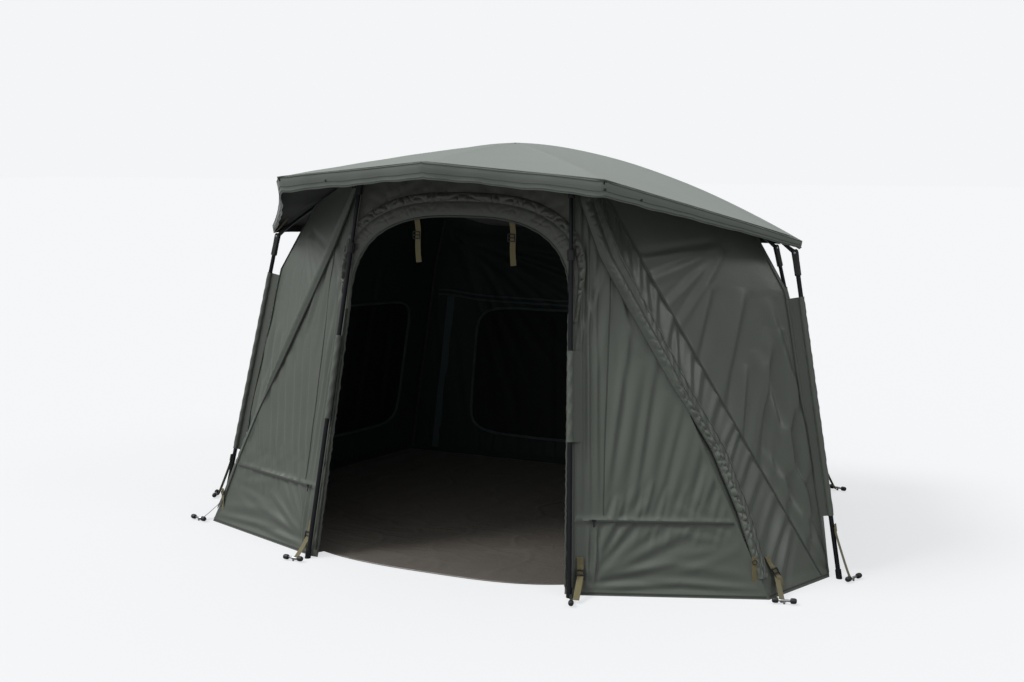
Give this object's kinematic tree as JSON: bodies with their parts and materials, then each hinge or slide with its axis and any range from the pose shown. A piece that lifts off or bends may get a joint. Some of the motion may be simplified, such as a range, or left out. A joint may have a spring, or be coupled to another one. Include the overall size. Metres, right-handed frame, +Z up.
{
  "type": "bivvy tent",
  "caption": "Pitched bivvy tent with an arched open doorway, overhanging hub-and-spoke roof, hinged outer legs, sloping cloth walls, groundsheet, straps and ground pegs.",
  "frame": {"origin": "on the ground, in the middle of the pitched tent's plan box, pegs included", "axes": "+Z up, -Y towards the side the doorway faces, +X to the right of a person who faces the doorway"},
  "size_m": [3.199, 2.1862, 1.7485],
  "materials": {
    "roof_cloth": "coated woven polyester, sage grey-green",
    "wall_cloth": "coated woven polyester, dark grey-green",
    "floor_cloth": "heavy coated groundsheet, dark brown-grey",
    "webbing": "woven olive webbing",
    "tube": "satin black tube",
    "moulding": "moulded black nylon",
    "steel": "plated steel"
  },
  "bodies": {
    "base": {"back_wall": "wall_cloth", "corner_flap_l": "wall_cloth", "corner_flap_r": "wall_cloth", "door_arch_band": "wall_cloth", "door_wall": "wall_cloth", "front_wing_l": "wall_cloth", "front_wing_r": "wall_cloth", "groundsheet": "floor_cloth", "peg_corner_l": "steel", "peg_corner_r": "steel", "peg_front_l": "steel", "peg_front_r": "steel", "peg_rear_l": "steel", "peg_rear_r": "steel", "peg_side_l": "steel", "peg_side_r": "steel", "rear_side_wall_l": "wall_cloth", "rear_side_wall_r": "wall_cloth", "side_wall_l": "wall_cloth", "side_wall_r": "wall_cloth", "sleeve_front_l": "wall_cloth", "sleeve_front_r": "wall_cloth", "sleeve_rear_l": "wall_cloth", "sleeve_rear_r": "wall_cloth", "sleeve_side_l": "wall_cloth", "sleeve_side_r": "wall_cloth", "strap_corner_l": "webbing", "strap_corner_r": "webbing", "strap_front_l": "webbing", "strap_front_r": "webbing", "strap_side_l": "webbing", "strap_side_r": "webbing"},
    "canopy": {"roof": "roof_cloth", "hub": "moulding", "door_strap_l": "webbing", "door_strap_r": "webbing", "spoke_front_l": "tube", "spoke_front_r": "tube", "spoke_rear_l": "tube", "spoke_rear_r": "tube", "spoke_side_l": "tube", "spoke_side_r": "tube"},
    "front_leg_l": {"knuckle_front_l": "moulding", "leg_front_upper_l": "tube"},
    "front_leg_r": {"knuckle_front_r": "moulding", "leg_front_upper_r": "tube"},
    "side_leg_l": {"knuckle_side_l": "moulding", "leg_side_l": "tube"},
    "side_leg_r": {"knuckle_side_r": "moulding", "leg_side_r": "tube"},
    "rear_leg_l": {"knuckle_rear_l": "moulding", "leg_rear_l": "tube"},
    "rear_leg_r": {"knuckle_rear_r": "moulding", "leg_rear_r": "tube"},
    "front_tube_l": {"leg_front_lower_l": "tube"},
    "front_lock_l": {"twist_lock_l": "moulding"},
    "front_tube_r": {"leg_front_lower_r": "tube"},
    "front_lock_r": {"twist_lock_r": "moulding"},
    "zip_l": {"zip_runner_l": "steel"},
    "zip_r": {"zip_runner_r": "steel"}
  },
  "joints": [
    {"name": "canopy_drop", "type": "slide", "parent": "base", "child": "canopy", "axis": [0, 0, 1], "range_m": [-0.93, 0], "deforming": ["back_wall", "corner_flap_l", "corner_flap_r", "door_arch_band", "door_wall", "front_wing_l", "front_wing_r", "groundsheet", "rear_side_wall_l", "rear_side_wall_r", "side_wall_l", "side_wall_r", "sleeve_front_l", "sleeve_front_r", "sleeve_rear_l", "sleeve_rear_r", "sleeve_side_l", "sleeve_side_r"]},
    {"name": "fold_front_l", "type": "hinge", "parent": "canopy", "child": "front_leg_l", "pos_m": [-0.47846, -0.6884, 1.62504], "axis": [1, 0, 0], "range_deg": [0, 77.4]},
    {"name": "fold_front_r", "type": "hinge", "parent": "canopy", "child": "front_leg_r", "pos_m": [0.47846, -0.6884, 1.62504], "axis": [1, 0, 0], "range_deg": [0, 77.4]},
    {"name": "fold_side_l", "type": "hinge", "parent": "canopy", "child": "side_leg_l", "pos_m": [-1.262, -0.1821, 1.303], "axis": [0.0166, -0.9999, 0], "range_deg": [0, 97.1]},
    {"name": "fold_side_r", "type": "hinge", "parent": "canopy", "child": "side_leg_r", "pos_m": [1.262, -0.1821, 1.303], "axis": [0.0166, 0.9999, 0], "range_deg": [0, 103.1]},
    {"name": "fold_rear_l", "type": "hinge", "parent": "canopy", "child": "rear_leg_l", "pos_m": [-0.944, 0.8779, 1.243], "axis": [-0.7401, -0.6725, 0], "range_deg": [0, 102.2]},
    {"name": "fold_rear_r", "type": "hinge", "parent": "canopy", "child": "rear_leg_r", "pos_m": [0.944, 0.8779, 1.243], "axis": [-0.7401, 0.6725, 0], "range_deg": [0, 102.2]},
    {"name": "leg_length_l", "type": "slide", "parent": "front_leg_l", "child": "front_tube_l", "axis": [0.0728, 0.1791, 0.9811], "range_m": [0, 0.16]},
    {"name": "lock_turn_l", "type": "hinge", "parent": "front_tube_l", "child": "front_lock_l", "pos_m": [-0.5003, -0.74214, 1.3307], "axis": [0.0728, 0.1791, 0.9811], "range_deg": [0, 90]},
    {"name": "leg_length_r", "type": "slide", "parent": "front_leg_r", "child": "front_tube_r", "axis": [-0.0728, 0.1791, 0.9811], "range_m": [0, 0.16]},
    {"name": "lock_turn_r", "type": "hinge", "parent": "front_tube_r", "child": "front_lock_r", "pos_m": [0.5003, -0.74214, 1.3307], "axis": [-0.0728, 0.1791, 0.9811], "range_deg": [0, 90]},
    {"name": "zip_slide_l", "type": "slide", "parent": "base", "child": "zip_l", "axis": [-0.9364, 0.351, 0], "range_m": [0, 0.42]},
    {"name": "zip_slide_r", "type": "slide", "parent": "base", "child": "zip_r", "axis": [0.9364, 0.351, 0], "range_m": [0, 0.42]}
  ],
  "couplings": [
    {"joint": "fold_front_l", "follows": "canopy_drop", "rad_per_m": -1.4507},
    {"joint": "fold_front_r", "follows": "canopy_drop", "rad_per_m": -1.4507},
    {"joint": "fold_side_l", "follows": "canopy_drop", "rad_per_m": -1.8204},
    {"joint": "fold_side_r", "follows": "canopy_drop", "rad_per_m": -1.933},
    {"joint": "fold_rear_l", "follows": "canopy_drop", "rad_per_m": -1.9161},
    {"joint": "fold_rear_r", "follows": "canopy_drop", "rad_per_m": -1.9161}
  ]
}
